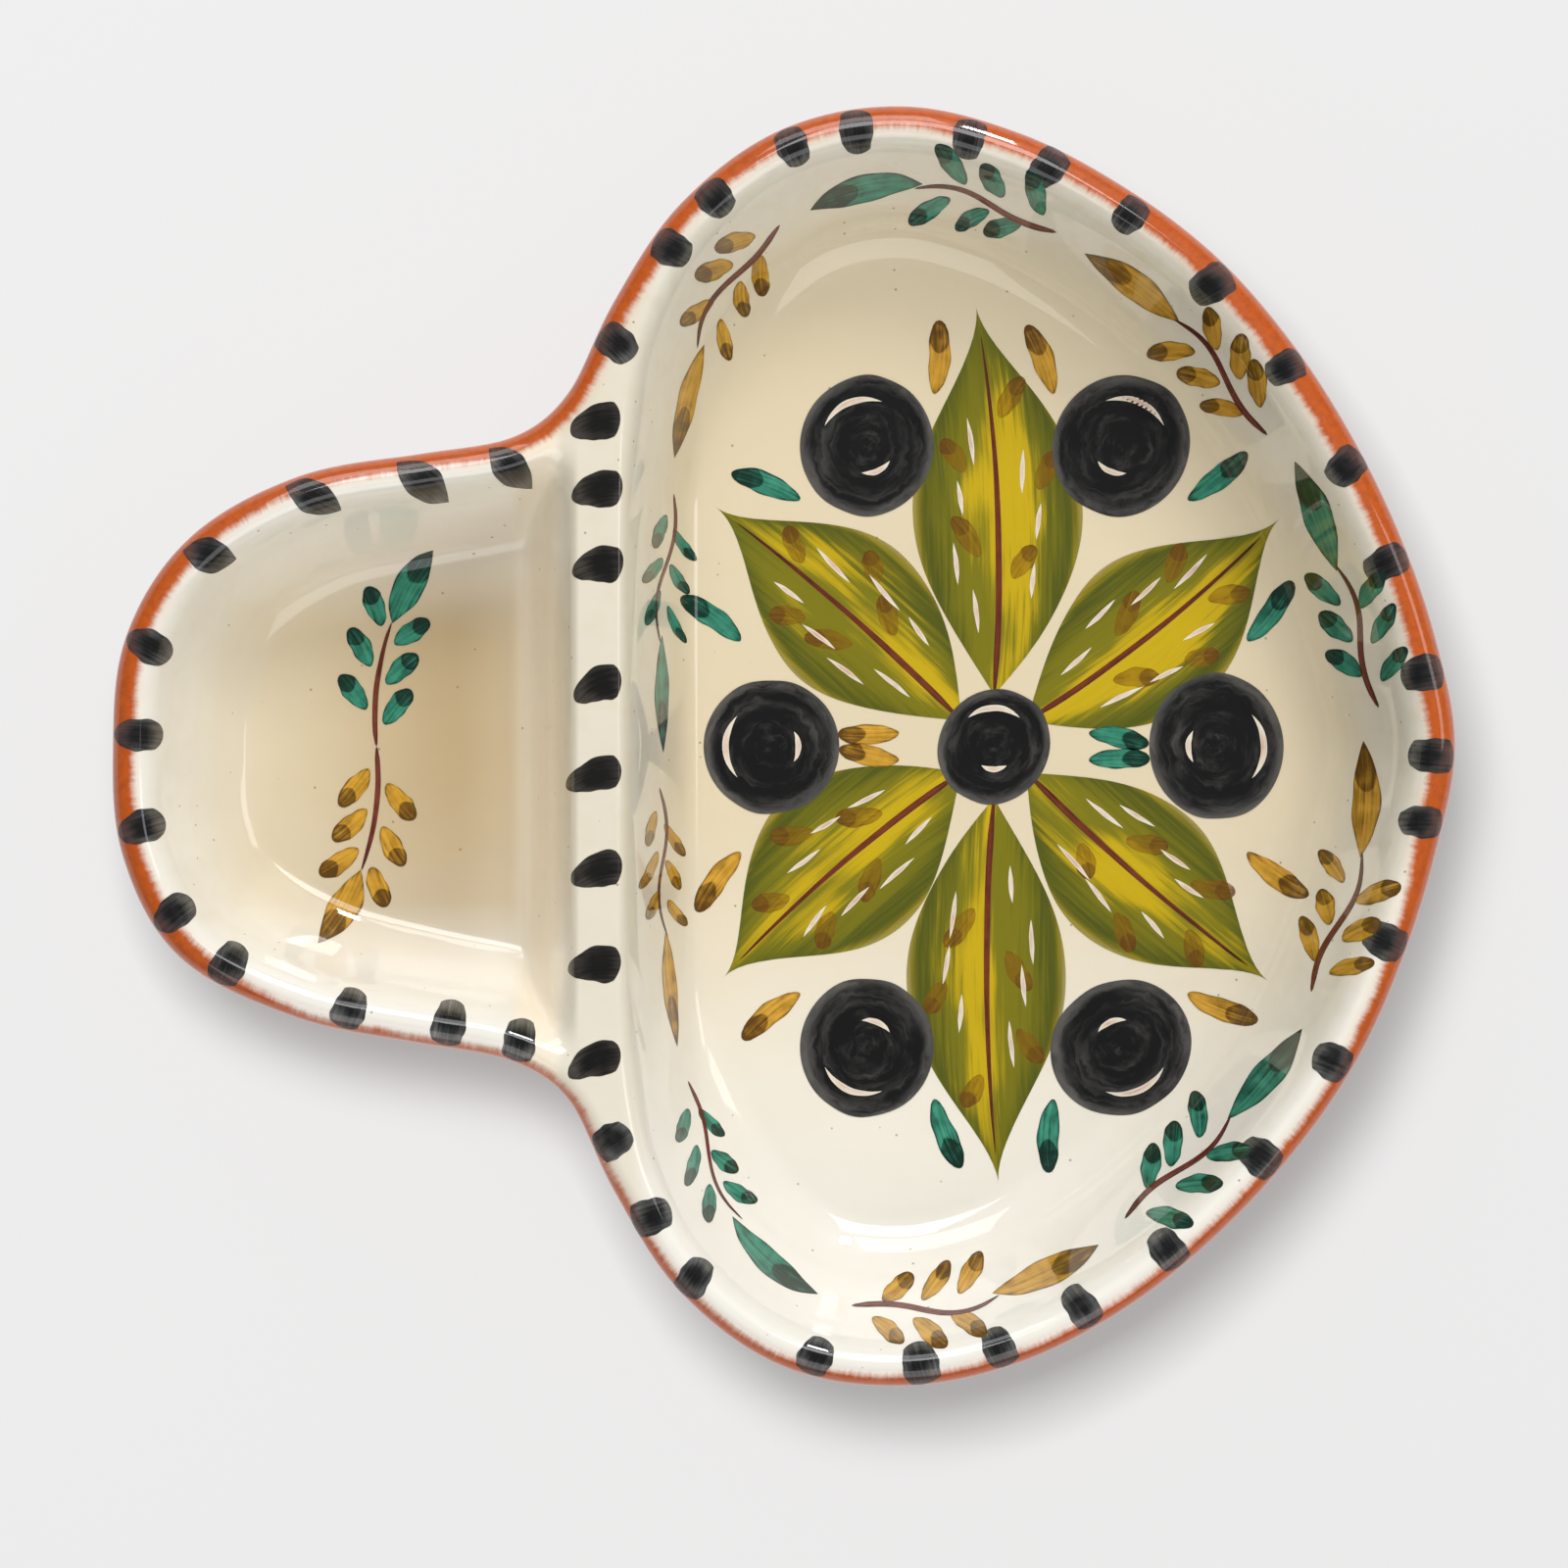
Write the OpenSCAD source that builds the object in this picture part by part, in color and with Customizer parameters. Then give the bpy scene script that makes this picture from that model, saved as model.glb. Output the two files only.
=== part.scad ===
// Olive dish: a main bowl for olives, with a small bowl for the stones joined to its side.
// Glazed terracotta, formed by hand over a mould. The origin is on the table, under the
// middle of the dish. +X runs from the pit bowl to the main bowl, and +Z is up.

/* [Dish] */
// Length over both bowls
dish_l = 205.5; // [180:0.5:240]
// Width over the main bowl
dish_w = 196; // [170:0.5:230]
// Distance of the ridge between the wells from the middle of the dish
ridge_from_middle = 28.5; // [20:0.5:36]
// Width of the ridge, from well to well
ridge_w = 10.5; // [8:0.5:14]

/* [Lip] */
// Width of the lip, from the edge of the dish to the start of a well
lip_w = 6; // [4.5:0.1:9]
// Radius of the lip's outer edge
lip_r = 3.2; // [2:0.1:4]
// Half the width of the round where the lip rolls into a well
roll_w = 2.4; // [1.5:0.1:3.5]
// Width of the bare clay at the edge, where the white slip is wiped off
bare_w = 3; // [1.5:0.1:4]

/* [Main bowl] */
// Depth of the main well below the lip
main_depth = 26; // [18:0.5:32]
// How far the main well's wall runs in from the lip to the floor
main_run = 19.5; // [15:0.5:24]
// How far the wall runs on the ridge side of the main well
main_ridge_run = 11; // [7:0.5:15]

/* [Pit bowl] */
// Depth of the pit well below the lip
pit_depth = 23.5; // [15:0.5:24]
// How far the pit well's wall runs in, beside the ridge
pit_run = 11.5; // [9:0.5:15]
// How far the pit well's wall runs in at the far end
pit_end_run = 20; // [15:0.5:22]
// How far the wall runs on the ridge side of the pit well
pit_ridge_run = 7; // [5:0.5:10]

/* [Shell] */
// Thickness of the clay under the wells
floor_t = 5; // [4:0.1:7]
// How far the curve of the underside runs on past the foot of a well's wall
heel_w = 1.5; // [0:0.1:4]
// Height of the joint between the two bowls
joint_h = 24; // [16:0.5:26]
// Distance from the waist over which the joint reaches its height
joint_run = 20; // [12:0.5:30]

/* [White slip] */
// Thickness of the slip coat
slip_t = 0.5; // [0.3:0.05:0.8]
// Thickness that is left at the wiped edge
slip_edge_t = 0.1; // [0.05:0.05:0.2]
// Width over which the slip thins towards the wiped edge
slip_taper = 3; // [1.5:0.1:5]

/* [Feet] */
// Height of the main foot ring
foot_h = 3.5; // [2.5:0.1:6]
// Width of the clay in a foot ring
foot_w = 5; // [3:0.1:7]
// Distance of the main foot ring inside the flat of its bowl's underside
foot_inset = 1.5; // [1:0.1:4]
// Radius that rounds the corners of the main foot ring
foot_round = 10; // [4:0.5:16]
// Outer diameter of the pit foot ring
pit_foot_d = 30; // [22:0.5:36]

/* [Hidden] */
terracotta = "#c8662f";
cream = "#efe9d6";

// Heights above the table
rim_h = foot_h + floor_t + main_depth;
widest_h = rim_h - lip_r;
valley_h = rim_h - joint_h;
pit_foot_h = rim_h - pit_depth - floor_t;

// Places along X
half_l = dish_l / 2;
half_w = dish_w / 2;
ridge_x = -ridge_from_middle;
main_mouth_x = ridge_x + ridge_w / 2;
joint_x = ridge_x - ridge_w / 2;
pit_l = half_l + joint_x;
main_joint_run = ridge_w + main_ridge_run + heel_w;
pit_joint_run = pit_ridge_run + heel_w;

// How full the wells' walls are: 1 is a straight slope, and more is steeper at the lip
well_curve = 2.2;

// The dish's edge at every 10 degrees, as shares of the ellipse of its length and width.
// It starts at the far end of the main bowl and turns by the back and the pit bowl.
edge_shares = [
    1.00, 0.985, 0.975, 0.975, 0.985, 1.00, 1.01, 1.02, 1.015,
    0.965, 0.865, 0.74, 0.64, 0.63, 0.71, 0.84, 0.945, 0.995,
    1.00, 1.00, 0.96, 0.845, 0.72, 0.64, 0.64, 0.74, 0.87,
    0.97, 1.015, 1.025, 1.015, 1.00, 0.99, 0.985, 0.98, 0.985
];
edge_step = 360 / len(edge_shares);

// Each bowl is drawn as columns of points that turn about its heart, which lies at a share
// of the way from the joint to the far end
main_heart_share = 0.5;
pit_heart_share = 0.4;
main_heart = [blend(joint_x, half_l, main_heart_share), 0];
pit_heart = [blend(joint_x, -half_l, pit_heart_share), 0];
main_columns = 50;
pit_columns = 32;
joint_columns = 12;

// Where a column's points lie: round the bare edge, over the lip, down the wall, on the
// floor, and under the bowl
edge_ring_shares = [0, 0.08, 0.3, 0.62];
lip_ring_shares = [0, 0.2, 0.45, 0.75, 1];
wall_ring_shares = [0.08, 0.18, 0.3, 0.44, 0.6, 0.78, 1];
floor_ring_shares = [0.4, 0.75];
under_ring_shares = [0.04, 0.12, 0.24, 0.4, 0.6, 0.8, 1];
// A wall ends, and a lip ends, within these shares of the way to the heart and of the wall
wall_end_share = 0.8;
lip_end_share = 0.6;
// A column that slants counts as going at least these shares straight in, or along X
inward_share = 0.5;
along_share = 0.05;
// Sides that a round piece is shown with
round_sides = 96;

function blend(a, b, share) = a + (b - a) * share;
function lift(p, z) = [p.x, p.y, z];
function reverse(list) = [for (i = [len(list) - 1 : -1 : 0]) list[i]];

// A smooth curve through edge_shares
function edge_share(a) =
    let (
        n = len(edge_shares),
        i = floor(a / edge_step),
        t = a / edge_step - i,
        p = [for (k = [-1 : 2]) edge_shares[((i + k) % n + n) % n]]
    )
    p[1] + t / 2 * (p[2] - p[0] + t * (2 * p[0] - 5 * p[1] + 4 * p[2] - p[3]
        + t * (3 * (p[1] - p[2]) + p[3] - p[0])));

function edge_point(a) = edge_share(a) * [half_l * cos(a), half_w * sin(a)];
function edge_tangent(a) = (edge_point(a + 1) - edge_point(a - 1)) / 2;
function edge_inward(a) = let (t = edge_tangent(a)) [-t.y, t.x] / norm(t);

// Angle of the edge point that is nearest to a point, from a near angle in a few steps
function foot_angle(p, a, steps = 4) =
    let (t = edge_tangent(a))
    steps == 0 ? a : foot_angle(p, a + (p - edge_point(a)) * t / (t * t), steps - 1);

// How far a point lies inside the dish's edge, exact as far in as the walls reach, and the
// direction straight in from there
walls_end = lip_w + max(main_run, pit_end_run) + heel_w;
near_angles = [for (a = [0 : edge_step / 2 : 359]) a];
near_points = [for (a = near_angles) edge_point(a)];
function edge_foot(p) =
    let (
        gaps = [for (q = near_points) norm(p - q)],
        nearest = min(gaps),
        a = foot_angle(p, near_angles[search(nearest, gaps)[0]]),
        inward = edge_inward(a)
    )
    [nearest > walls_end ? nearest : (p - edge_point(a)) * inward, inward];
function edge_gap(p) = edge_foot(p)[0];

// Angle at which the edge crosses the joint, behind (side 1) or in front (side -1)
function waist(side, low = 90, high = 180, steps = 30) =
    let (mid = (low + high) / 2)
    steps == 0
        ? side * mid
        : edge_point(side * mid).x > joint_x
            ? waist(side, mid, high, steps - 1)
            : waist(side, low, mid, steps - 1);
back_waist = waist(1);
front_waist = waist(-1);

// A wall's fall, from 0 at the lip to 1 at the floor
function bowl(u) = 1 - (1 - min(max(u, 0), 1)) ^ well_curve;
// How far a point is down a wall, with the lip's roll at the start
function down(x) = x <= -roll_w ? 0 : x >= roll_w ? x : (x + roll_w) ^ 2 / (4 * roll_w);

function pit_run_at(p) = blend(pit_run, pit_end_run, (max(joint_x - p.x, 0) / pit_l) ^ 2);
function main_sink(p, gap) =
    main_depth * bowl(down(gap - lip_w) / main_run)
        * bowl(down(p.x - main_mouth_x) / main_ridge_run);
function pit_sink(p, gap) =
    pit_depth * bowl(down(gap - lip_w) / pit_run_at(p))
        * bowl(down(joint_x - p.x) / pit_ridge_run);
function edge_drop(gap) = lip_r - sqrt(lip_r ^ 2 - (lip_r - min(max(gap, 0), lip_r)) ^ 2);

// Heights over a point: the finished top, the clay under the slip, and the underside
function top_z(p, gap) =
    rim_h - edge_drop(gap) - (p.x > ridge_x ? main_sink(p, gap) : pit_sink(p, gap));
function clay_z(p, gap) =
    top_z(p, gap) - blend(slip_edge_t, slip_t, min(max((gap - bare_w) / slip_taper, 0), 1));
function under_z(p, gap) =
    let (
        main = p.x > joint_x,
        run = lip_w + (main ? main_run : pit_run_at(p)) + heel_w,
        joint = main ? main_joint_run : pit_joint_run,
        valley = blend(widest_h, valley_h, bowl(gap / joint_run)),
        open = blend(widest_h, main ? foot_h : pit_foot_h, bowl(gap / run))
    )
    blend(valley, open, bowl(abs(p.x - joint_x) / joint));

// How far to go from a start towards the heart to be far inside the edge and beyond x
function way_in(start, foot, heart, main, far, x) =
    let (
        way = (heart - start) / norm(heart - start),
        from_edge = (far - foot[0]) / max(way * foot[1], inward_share),
        from_joint = max(main ? x - start.x : start.x - x, 0) / max(abs(way.x), along_share)
    )
    max(from_edge, from_joint);

// Points over a bowl, from the start of the lip to near its heart
function top_line(start, foot, heart, main) =
    let (
        run = main ? main_run : pit_run_at(start),
        mouth_x = main ? main_mouth_x : joint_x - roll_w,
        floor_x = main ? main_mouth_x + main_ridge_run : joint_x - pit_ridge_run,
        far = norm(heart - start),
        way = (heart - start) / far,
        wall_end = way_in(start, foot, heart, main, lip_w + run, floor_x),
        reach = min(wall_end, far * wall_end_share),
        lip = min(way_in(start, foot, heart, main, lip_w, mouth_x), reach * lip_end_share)
    )
    [
        each [for (s = lip_ring_shares) start + way * lip * s],
        each [for (s = wall_ring_shares) start + way * blend(lip, reach, s)],
        each [for (s = floor_ring_shares) blend(start + way * reach, heart, s)]
    ];

// Points under a bowl, from near its heart out to its edge or joint
function under_line(start, foot, heart, main) =
    let (
        run = lip_w + (main ? main_run : pit_run_at(start)) + heel_w,
        floor_x = main ? joint_x + main_joint_run : joint_x - pit_joint_run,
        far = norm(heart - start),
        wall_end = way_in(start, foot, heart, main, run, floor_x),
        end = blend(start, heart, min(wall_end / far, wall_end_share))
    )
    [
        each [for (s = reverse(floor_ring_shares)) blend(end, heart, s)],
        each [for (s = reverse(under_ring_shares)) blend(start, end, s)]
    ];

// A column is [points under the bowl, points with heights round its edge, points over it]
function edge_column(a, heart, main) =
    let (
        p = edge_point(a),
        inward = edge_inward(a)
    )
    [
        under_line(p, [0, inward], heart, main),
        [for (s = edge_ring_shares)
            lift(p + inward * bare_w * s, rim_h - edge_drop(bare_w * s))],
        top_line(p + inward * bare_w, [bare_w, inward], heart, main)
    ];

// At a waist the edge rolls in along the joint's plane
function corner(a, gap) = [joint_x, edge_point(a).y + gap / edge_inward(a).y];
function corner_column(a, heart, main) = [
    under_line(corner(a, 0), [0, edge_inward(a)], heart, main),
    [for (s = edge_ring_shares) lift(corner(a, bare_w * s), rim_h - edge_drop(bare_w * s))],
    top_line(corner(a, bare_w), [bare_w, edge_inward(a)], heart, main)
];

// On the joint the column climbs the plane where the bowls meet
function joint_column(y, heart, main) =
    let (
        p = [joint_x, y],
        foot = edge_foot(p)
    )
    [
        under_line(p, foot, heart, main),
        [for (s = edge_ring_shares)
            lift(p, blend(under_z(p, foot[0]), clay_z(p, foot[0]), s))],
        top_line(p, foot, heart, main)
    ];

joint_ys = [for (i = [1 : joint_columns])
    blend(corner(front_waist, bare_w).y, corner(back_waist, bare_w).y, i / (joint_columns + 1))];

main_ring = [
    corner_column(front_waist, main_heart, true),
    each [for (i = [1 : main_columns])
        edge_column(blend(front_waist, back_waist, i / (main_columns + 1)), main_heart, true)],
    corner_column(back_waist, main_heart, true),
    each [for (y = reverse(joint_ys)) joint_column(y, main_heart, true)]
];
pit_ring = [
    corner_column(back_waist, pit_heart, false),
    each [for (i = [1 : pit_columns])
        edge_column(blend(back_waist, front_waist + 360, i / (pit_columns + 1)), pit_heart,
            false)],
    corner_column(front_waist, pit_heart, false),
    each [for (y = joint_ys) joint_column(y, pit_heart, false)]
];

// Two triangles for four points in turn, split along the shorter way across
function split(points, a, b, c, d) =
    norm(points[a] - points[c]) < norm(points[b] - points[d])
        ? [[a, b, c], [a, c, d]]
        : [[a, b, d], [b, c, d]];

// A closed solid through columns of points, each from near a point below to near one above
module loft(columns, below, above) {
    n = len(columns);
    m = len(columns[0]);
    points = [below, each [for (c = columns) each c], above];
    faces = [
        for (j = [0 : n - 1])
            let (here = 1 + j * m, next = 1 + (j + 1) % n * m)
            each [
                [0, here, next],
                each [for (k = [0 : m - 2])
                    each split(points, here + k, here + k + 1, next + k + 1, next + k)],
                [n * m + 1, next + m - 1, here + m - 1]
            ]
    ];
    polyhedron(points, faces);
}

module clay(ring, heart) {
    gap = edge_gap(heart);
    loft(
        [for (c = ring) [
            each [for (p = c[0]) lift(p, under_z(p, edge_gap(p)))],
            each c[1],
            each [for (p = c[2]) lift(p, clay_z(p, edge_gap(p)))]
        ]],
        lift(heart, under_z(heart, gap)),
        lift(heart, clay_z(heart, gap))
    );
}

module slip(ring, heart) {
    gap = edge_gap(heart);
    loft(
        [for (c = ring) [
            each [for (p = reverse(c[2])) lift(p, clay_z(p, edge_gap(p)))],
            each [for (p = c[2]) lift(p, top_z(p, edge_gap(p)))]
        ]],
        lift(heart, clay_z(heart, gap)),
        lift(heart, top_z(heart, gap))
    );
}

module main_bowl() {
    color(terracotta) clay(main_ring, main_heart);
}

module pit_bowl() {
    color(terracotta) clay(pit_ring, pit_heart);
}

// The main foot ring follows the flat of its bowl's underside
module main_foot() {
    flats = [for (c = main_ring) c[0][len(floor_ring_shares)]];
    module flat(inset) {
        offset(r = foot_round) offset(delta = -foot_round - inset) polygon(flats);
    }
    color(terracotta)
        linear_extrude(foot_h)
            difference() {
                flat(foot_inset);
                flat(foot_inset + foot_w);
            }
}

// The pit foot ring is round, in the middle of the flat of its bowl's underside
module pit_foot() {
    far_x = -half_l + lip_w + pit_end_run + heel_w;
    near_x = joint_x - pit_joint_run;
    color(terracotta)
        translate([(far_x + near_x) / 2, 0])
            rotate_extrude($fn = round_sides)
                translate([pit_foot_d / 2 - foot_w, 0])
                    square([foot_w, pit_foot_h]);
}

module main_slip() {
    color(cream) slip(main_ring, main_heart);
}

module pit_slip() {
    color(cream) slip(pit_ring, pit_heart);
}

main_bowl();
pit_bowl();
main_foot();
pit_foot();
main_slip();
pit_slip();
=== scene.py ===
import math

import bpy
import numpy as np
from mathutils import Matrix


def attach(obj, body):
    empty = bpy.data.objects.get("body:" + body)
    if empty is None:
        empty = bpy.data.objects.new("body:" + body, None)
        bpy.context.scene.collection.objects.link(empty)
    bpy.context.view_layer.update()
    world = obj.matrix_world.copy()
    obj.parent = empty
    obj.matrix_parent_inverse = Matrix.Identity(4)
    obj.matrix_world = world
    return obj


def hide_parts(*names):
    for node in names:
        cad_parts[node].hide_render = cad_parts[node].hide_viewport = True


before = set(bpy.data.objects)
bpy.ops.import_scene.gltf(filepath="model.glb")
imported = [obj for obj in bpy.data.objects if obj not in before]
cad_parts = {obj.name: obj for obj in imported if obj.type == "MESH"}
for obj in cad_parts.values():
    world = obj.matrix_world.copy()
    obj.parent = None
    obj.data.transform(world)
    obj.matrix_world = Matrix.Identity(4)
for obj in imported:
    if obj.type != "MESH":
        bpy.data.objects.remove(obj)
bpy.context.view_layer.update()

# THE TWO BOWLS. Terracotta pressed over a mould: a large bowl for the olives and a small one for
# the stones, joined to its side while both are leather hard. The ridge between the wells is the
# large bowl's own lip.

# Lengths are in millimetres until a mesh is made. The last letter of a size's name says what it
# is: L length, W width, H height, T thickness, R radius. A run is how far a wall reaches inward.
DISH_L, DISH_W = 205.5, 196.0
LIP_W, LIP_R, ROLL_W, BARE_W = 6.0, 3.2, 2.4, 3.0
RIDGE_X, RIDGE_W = -28.5, 10.5
MAIN_DEPTH, MAIN_RUN, MAIN_RIDGE_RUN = 26.0, 19.5, 11.0
PIT_DEPTH, PIT_RUN, PIT_END_RUN, PIT_RIDGE_RUN = 23.5, 11.5, 20.0, 7.0
FLOOR_T, HEEL_W, FOOT_H = 5.0, 1.5, 3.5
JOINT_H, JOINT_RUN = 24.0, 20.0
SLIP_T, SLIP_EDGE_T, SLIP_TAPER = 0.5, 0.1, 3.0
WELL_CURVE = 2.2
PIT_HEART_SHARE = 0.4
EDGE_SHARES = np.array([
    1.00, 0.985, 0.975, 0.975, 0.985, 1.00, 1.01, 1.02, 1.015,
    0.965, 0.865, 0.74, 0.64, 0.63, 0.71, 0.84, 0.945, 0.995,
    1.00, 1.00, 0.96, 0.845, 0.72, 0.64, 0.64, 0.74, 0.87,
    0.97, 1.015, 1.025, 1.015, 1.00, 0.99, 0.985, 0.98, 0.985,
])
RIM_H = FOOT_H + FLOOR_T + MAIN_DEPTH
WIDEST_H = RIM_H - LIP_R
VALLEY_H = RIM_H - JOINT_H
PIT_FOOT_H = RIM_H - PIT_DEPTH - FLOOR_T
MOUTH_X = RIDGE_X + RIDGE_W / 2
JOINT_X = RIDGE_X - RIDGE_W / 2
PIT_L = DISH_L / 2 + JOINT_X
WALLS_END = LIP_W + PIT_END_RUN + HEEL_W
MAIN_HEART = np.array([(JOINT_X + DISH_L / 2) / 2, 0.0])
PIT_HEART = np.array([JOINT_X - PIT_HEART_SHARE * PIT_L, 0.0])
MM = 0.001


def edge_share(angle):
    """Share of the ellipse at an angle: a Catmull-Rom curve through EDGE_SHARES."""
    step = np.asarray(angle, float) / 360 * len(EDGE_SHARES)
    i = np.floor(step).astype(int)
    t = step - i
    a, b, c, d = (EDGE_SHARES[(i + k) % len(EDGE_SHARES)] for k in (-1, 0, 1, 2))
    return b + t / 2 * (c - a + t * (2 * a - 5 * b + 4 * c - d + t * (3 * (b - c) + d - a)))


def edge_point(angle):
    """The dish's edge: an ellipse of its length and width, times the share there."""
    turn = np.radians(angle)
    ellipse = np.stack([DISH_L / 2 * np.cos(turn), DISH_W / 2 * np.sin(turn)], -1)
    return edge_share(angle)[..., None] * ellipse


def edge_tangent(angle):
    """The edge's step per degree, from the points a degree before and after."""
    return (edge_point(angle + 1) - edge_point(angle - 1)) / 2


def edge_inward(angle):
    """The unit vector a quarter turn left of the edge's tangent, into the dish."""
    tangent = edge_tangent(angle)
    left = np.stack([-tangent[..., 1], tangent[..., 0]], -1)
    return left / np.linalg.norm(left, axis=-1, keepdims=True)


SEARCH_STEP, SEARCH_BATCH, SEARCH_ROUNDS = 0.5, 20000, 4


def edge_foot(points):
    """How far points lie inside the edge, and the way straight in. The nearest of the edge
    points at every search step is improved by stepping the angle by the rest's part along
    the tangent. Far from the edge, past every wall, the search's own distance does."""
    flat = points.reshape(-1, 2)
    angles = np.arange(0, 360, SEARCH_STEP)
    places = edge_point(angles)
    angle, far = np.empty(len(flat)), np.empty(len(flat))
    for part in np.array_split(np.arange(len(flat)), len(flat) // SEARCH_BATCH + 1):
        p = flat[part]
        squares = (p**2).sum(1)[:, None] - 2 * p @ places.T + (places**2).sum(1)
        angle[part] = angles[squares.argmin(1)]
        far[part] = np.sqrt(np.maximum(squares.min(1), 0))
    for _ in range(SEARCH_ROUNDS):
        tangent = edge_tangent(angle)
        rest = flat - edge_point(angle)
        angle = angle + (rest * tangent).sum(1) / (tangent**2).sum(1)
    inward = edge_inward(angle)
    gap = ((flat - edge_point(angle)) * inward).sum(1)
    gap = np.where(far > WALLS_END, far, gap)
    return gap.reshape(points.shape[:-1]), inward.reshape(points.shape)


def blend(a, b, share):
    """a at share 0, b at share 1, and straight between."""
    return a + (b - a) * share


def bowl(u):
    """A wall's fall from 0 at the lip to 1 at the floor: 1 - (1 - u) to the power of its curve."""
    return 1 - (1 - np.clip(u, 0, 1)) ** WELL_CURVE


def down(x):
    """Distance down a wall, which starts with a parabola over the lip's roll."""
    roll = (x + ROLL_W) ** 2 / (4 * ROLL_W)
    return np.where(x <= -ROLL_W, 0, np.where(x >= ROLL_W, x, roll))


def pit_run(x):
    """Run of the pit well's wall: short by the ridge, growing with the square of the way out."""
    return blend(PIT_RUN, PIT_END_RUN, (np.maximum(JOINT_X - x, 0) / PIT_L) ** 2)


def top_height(x, gap):
    """The finished top: the rim, less a quarter round at the edge, less the well's depth times
    its wall's fall from the edge times its fall from the ridge."""
    round_off = LIP_R - np.sqrt(LIP_R**2 - (LIP_R - np.clip(gap, 0, LIP_R)) ** 2)
    from_edge = down(gap - LIP_W)
    main = MAIN_DEPTH * bowl(from_edge / MAIN_RUN) * bowl(down(x - MOUTH_X) / MAIN_RIDGE_RUN)
    pit = PIT_DEPTH * bowl(from_edge / pit_run(x)) * bowl(down(JOINT_X - x) / PIT_RIDGE_RUN)
    return RIM_H - round_off - np.where(x > RIDGE_X, main, pit)


def clay_height(x, gap):
    """The clay under the slip: the top less the coat, which thins towards the wiped edge."""
    coat = blend(SLIP_EDGE_T, SLIP_T, np.clip((gap - BARE_W) / SLIP_TAPER, 0, 1))
    return top_height(x, gap) - coat


def under_height(x, gap):
    """The underside: it falls from the widest line to the flat, and near the joint only to
    the valley between the bowls."""
    main = x > JOINT_X
    run = LIP_W + np.where(main, MAIN_RUN, pit_run(x)) + HEEL_W
    joint = HEEL_W + np.where(main, RIDGE_W + MAIN_RIDGE_RUN, PIT_RIDGE_RUN)
    valley = blend(WIDEST_H, VALLEY_H, bowl(gap / JOINT_RUN))
    flat = blend(WIDEST_H, np.where(main, FOOT_H, PIT_FOOT_H), bowl(gap / run))
    return blend(valley, flat, bowl(np.abs(x - JOINT_X) / joint))


SLOPE_STEP = 0.01


def stand(height, points):
    """Points put on a height function, their upward normals from its slopes along X and along
    the gap, and their gaps."""
    gap, inward = edge_foot(points)
    x = points[..., 0]
    by_gap = (height(x, gap + SLOPE_STEP) - height(x, gap - SLOPE_STEP)) / (2 * SLOPE_STEP)
    by_x = (height(x + SLOPE_STEP, gap) - height(x - SLOPE_STEP, gap)) / (2 * SLOPE_STEP)
    slope = by_gap[..., None] * inward + np.stack([by_x, 0 * by_x], -1)
    normal = np.concatenate([-slope, np.ones_like(gap)[..., None]], -1)
    normal /= np.linalg.norm(normal, axis=-1, keepdims=True)
    return np.concatenate([points, height(x, gap)[..., None]], -1), normal, gap


WAIST_ANGLES = np.linspace(95, 175, 1601)
MAIN_COLUMNS, PIT_COLUMNS, JOINT_COLUMNS = 320, 220, 120


def waist(gap, side):
    """Angle at which the curve a gap inside the edge crosses the joint, with side 1 at the
    back and -1 at the front."""
    angles = side * WAIST_ANGLES
    x = (edge_point(angles) + gap * edge_inward(angles))[:, 0]
    return np.interp(-JOINT_X, -x, angles)


def brim(main, gap):
    """Points round a bowl, seen from above against the clock: along the curve a gap inside the
    edge from waist to waist, and back along the joint."""
    front, back = waist(gap, -1), waist(gap, 1)
    if main:
        angles = np.linspace(front, back, MAIN_COLUMNS)
    else:
        angles = np.linspace(back, front + 360, PIT_COLUMNS)
    ends = np.array([waist(BARE_W, 1), waist(BARE_W, -1)])
    corners = edge_point(ends) + BARE_W * edge_inward(ends)
    ys = np.linspace(corners[0, 1], corners[1, 1], JOINT_COLUMNS + 2)[1:-1]
    joint = np.stack([np.full(len(ys), JOINT_X), ys if main else ys[::-1]], -1)
    return np.concatenate([edge_point(angles) + gap * edge_inward(angles), joint])


WAY_POINTS = 201
LEVEL_END, LEVEL_CLIMB = 1.1, 1e-6


def inward_rows(start, main, under, rows, floor_rows):
    """Rows of points on the straight ways from start points to a bowl's heart: even steps of
    a level that grows from 0 at the start to 1 at the foot of the wall, then on over the
    floor. The level is the lesser of the shares of the wall's two runs, from the edge and
    from the joint. Each way's levels lie 2 apart from the last one's, so that one
    interpolation serves them all."""
    heart = MAIN_HEART if main else PIT_HEART
    share = np.linspace(0, 1, WAY_POINTS)
    ways = start[:, None] + share[:, None] * (heart - start)[:, None]
    gap, _ = edge_foot(ways)
    x = ways[..., 0]
    run = LIP_W + (MAIN_RUN if main else pit_run(x)) + under * HEEL_W
    ridge = (RIDGE_W + MAIN_RIDGE_RUN if main else PIT_RIDGE_RUN) + under * HEEL_W
    first = 0 if under else BARE_W
    level = np.minimum((gap - first) / (run - first), np.abs(x - JOINT_X) / ridge)
    level = np.maximum.accumulate(np.clip(level, 0, LEVEL_END), axis=1)
    level = level + LEVEL_CLIMB * np.arange(WAY_POINTS)
    apart = 2 * np.arange(len(start))[:, None]
    wanted = np.linspace(0, 1, rows + 1)
    at = np.interp(
        (wanted + apart).ravel(), (level + apart).ravel(), np.tile(share, len(start))
    ).reshape(len(start), -1)
    on_floor = np.linspace(0, 1, floor_rows + 2)[1:-1]
    at = np.concatenate([at, at[:, -1:] + (1 - at[:, -1:]) * on_floor], 1)
    at[:, 0] = 0
    return start[:, None] + at[..., None] * (heart - start)[:, None]


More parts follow.
